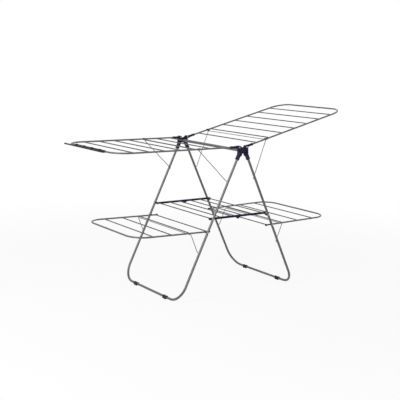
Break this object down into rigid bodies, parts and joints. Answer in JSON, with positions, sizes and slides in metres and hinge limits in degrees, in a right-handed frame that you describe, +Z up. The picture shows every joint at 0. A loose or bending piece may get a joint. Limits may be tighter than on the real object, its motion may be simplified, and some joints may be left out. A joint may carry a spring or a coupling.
{
  "type": "clothes drying rack",
  "caption": "Free-standing folding clothes drying rack with bent-tube legs, gull wings of rods on wire stays, lower wings and a middle shelf that folds up.",
  "frame": {"origin": "on the floor, under the middle of the open rack as it stands in the picture", "axes": "+Z up; +X from the flat left wing to the raised right wing; +Y from the front legs to the back legs"},
  "size_m": [1.513, 0.619, 1.0001],
  "materials": {
    "tube": "satin grey coating",
    "rod_wire": "satin grey coating",
    "stay_wire": "satin grey coating",
    "pin_steel": "plain steel",
    "navy_plastic": "moulded, satin",
    "black_plastic": "moulded, satin"
  },
  "bodies": {
    "stretcher": {"stretcher_tube": "tube", "stretcher_cap_front": "navy_plastic", "stretcher_cap_back": "navy_plastic", "stretcher_collars": "navy_plastic"},
    "left_leg": {"left_leg_tube": "tube", "left_socket_front": "navy_plastic", "left_socket_back": "navy_plastic", "left_foot_front": "black_plastic", "left_foot_back": "black_plastic", "left_wing_pins": "pin_steel", "left_shelf_pins": "pin_steel", "left_shelf_spacers": "black_plastic", "left_lower_pins": "pin_steel", "left_lower_spacers": "black_plastic"},
    "left_wing": {"left_wing_frame": "tube", "left_wing_rods": "rod_wire", "left_wing_sleeve_front": "navy_plastic", "left_wing_sleeve_back": "navy_plastic", "left_stay_clips": "black_plastic", "left_hanger_strip": "black_plastic"},
    "left_stay": {"left_stay": "stay_wire"},
    "lower_left_wing": {"left_lower_frame": "tube", "left_lower_rods": "rod_wire", "left_lower_caps": "black_plastic"},
    "lower_left_stay": {"left_lower_stay": "stay_wire"},
    "right_leg": {"right_leg_tube": "tube", "right_socket_front": "navy_plastic", "right_socket_back": "navy_plastic", "right_foot_front": "black_plastic", "right_foot_back": "black_plastic", "right_wing_pins": "pin_steel", "right_shelf_pegs": "pin_steel", "right_shelf_spacers": "black_plastic", "right_lower_pins": "pin_steel", "right_lower_spacers": "black_plastic"},
    "right_wing": {"right_wing_frame": "tube", "right_wing_rods": "rod_wire", "right_wing_sleeve_front": "navy_plastic", "right_wing_sleeve_back": "navy_plastic", "right_stay_clips": "black_plastic"},
    "right_stay": {"right_stay": "stay_wire"},
    "lower_right_wing": {"right_lower_frame": "tube", "right_lower_rods": "rod_wire", "right_lower_caps": "black_plastic"},
    "lower_right_stay": {"right_lower_stay": "stay_wire"},
    "shelf_left": {"shelf_left_bar_front": "navy_plastic", "shelf_left_bar_back": "navy_plastic", "shelf_left_rods": "rod_wire", "shelf_hinge_pins": "pin_steel"},
    "shelf_right": {"shelf_right_bar_front": "navy_plastic", "shelf_right_bar_back": "navy_plastic", "shelf_right_rods": "rod_wire"}
  },
  "joints": [
    {"name": "left_leg_fold", "type": "hinge", "parent": "stretcher", "child": "left_leg", "pos_m": [0.01695, 0, 0.79432], "axis": [0, -1, 0], "range_deg": [0, 23.4]},
    {"name": "right_leg_fold", "type": "hinge", "parent": "stretcher", "child": "right_leg", "pos_m": [0.01695, 0, 0.79432], "axis": [0, -1, 0], "range_deg": [-23.4, 0]},
    {"name": "left_wing_fold", "type": "hinge", "parent": "left_leg", "child": "left_wing", "pos_m": [-0.00705, 0, 0.81372], "axis": [0, -1, 0], "range_deg": [0, 62.1]},
    {"name": "left_stay_fold", "type": "hinge", "parent": "left_leg", "child": "left_stay", "pos_m": [-0.07462, 0, 0.63411], "axis": [0, -1, 0], "range_deg": [0, 106.16]},
    {"name": "lower_left_wing_fold", "type": "hinge", "parent": "left_leg", "child": "lower_left_wing", "pos_m": [-0.20073, 0, 0.36853], "axis": [0, -1, 0], "range_deg": [0, 57.61]},
    {"name": "lower_left_stay_fold", "type": "hinge", "parent": "left_leg", "child": "lower_left_stay", "pos_m": [-0.25048, 0, 0.26374], "axis": [0, -1, 0], "range_deg": [0, 118.72]},
    {"name": "right_wing_fold", "type": "hinge", "parent": "right_leg", "child": "right_wing", "pos_m": [0.04095, 0, 0.81372], "axis": [0, -1, 0], "range_deg": [-76.45, 0]},
    {"name": "right_stay_fold", "type": "hinge", "parent": "right_leg", "child": "right_stay", "pos_m": [0.10852, 0, 0.63411], "axis": [0, -1, 0], "range_deg": [-131.83, 0]},
    {"name": "lower_right_wing_fold", "type": "hinge", "parent": "right_leg", "child": "lower_right_wing", "pos_m": [0.23463, 0, 0.36853], "axis": [0, -1, 0], "range_deg": [-57.61, 0]},
    {"name": "lower_right_stay_fold", "type": "hinge", "parent": "right_leg", "child": "lower_right_stay", "pos_m": [0.28438, 0, 0.26374], "axis": [0, -1, 0], "range_deg": [-118.72, 0]},
    {"name": "shelf_left_fold", "type": "hinge", "parent": "left_leg", "child": "shelf_left", "pos_m": [-0.16856, 0, 0.43628], "axis": [0, -1, 0], "range_deg": [0, 61.32]},
    {"name": "shelf_right_fold", "type": "hinge", "parent": "shelf_left", "child": "shelf_right", "pos_m": [0.01695, 0, 0.42528], "axis": [0, -1, 0], "range_deg": [-169.43, 0]}
  ],
  "couplings": [
    {"joint": "right_leg_fold", "follows": "left_leg_fold", "ratio": -1},
    {"joint": "left_stay_fold", "follows": "left_wing_fold", "ratio": 1.7093},
    {"joint": "lower_left_wing_fold", "follows": "left_wing_fold", "ratio": 0.92754},
    {"joint": "lower_left_stay_fold", "follows": "left_wing_fold", "ratio": 1.9116},
    {"joint": "right_stay_fold", "follows": "right_wing_fold", "ratio": 1.7243},
    {"joint": "lower_right_wing_fold", "follows": "right_wing_fold", "ratio": 0.75343},
    {"joint": "lower_right_stay_fold", "follows": "right_wing_fold", "ratio": 1.5528},
    {"joint": "shelf_left_fold", "follows": "left_leg_fold", "ratio": 2.6201},
    {"joint": "shelf_right_fold", "follows": "left_leg_fold", "ratio": -7.2402}
  ]
}
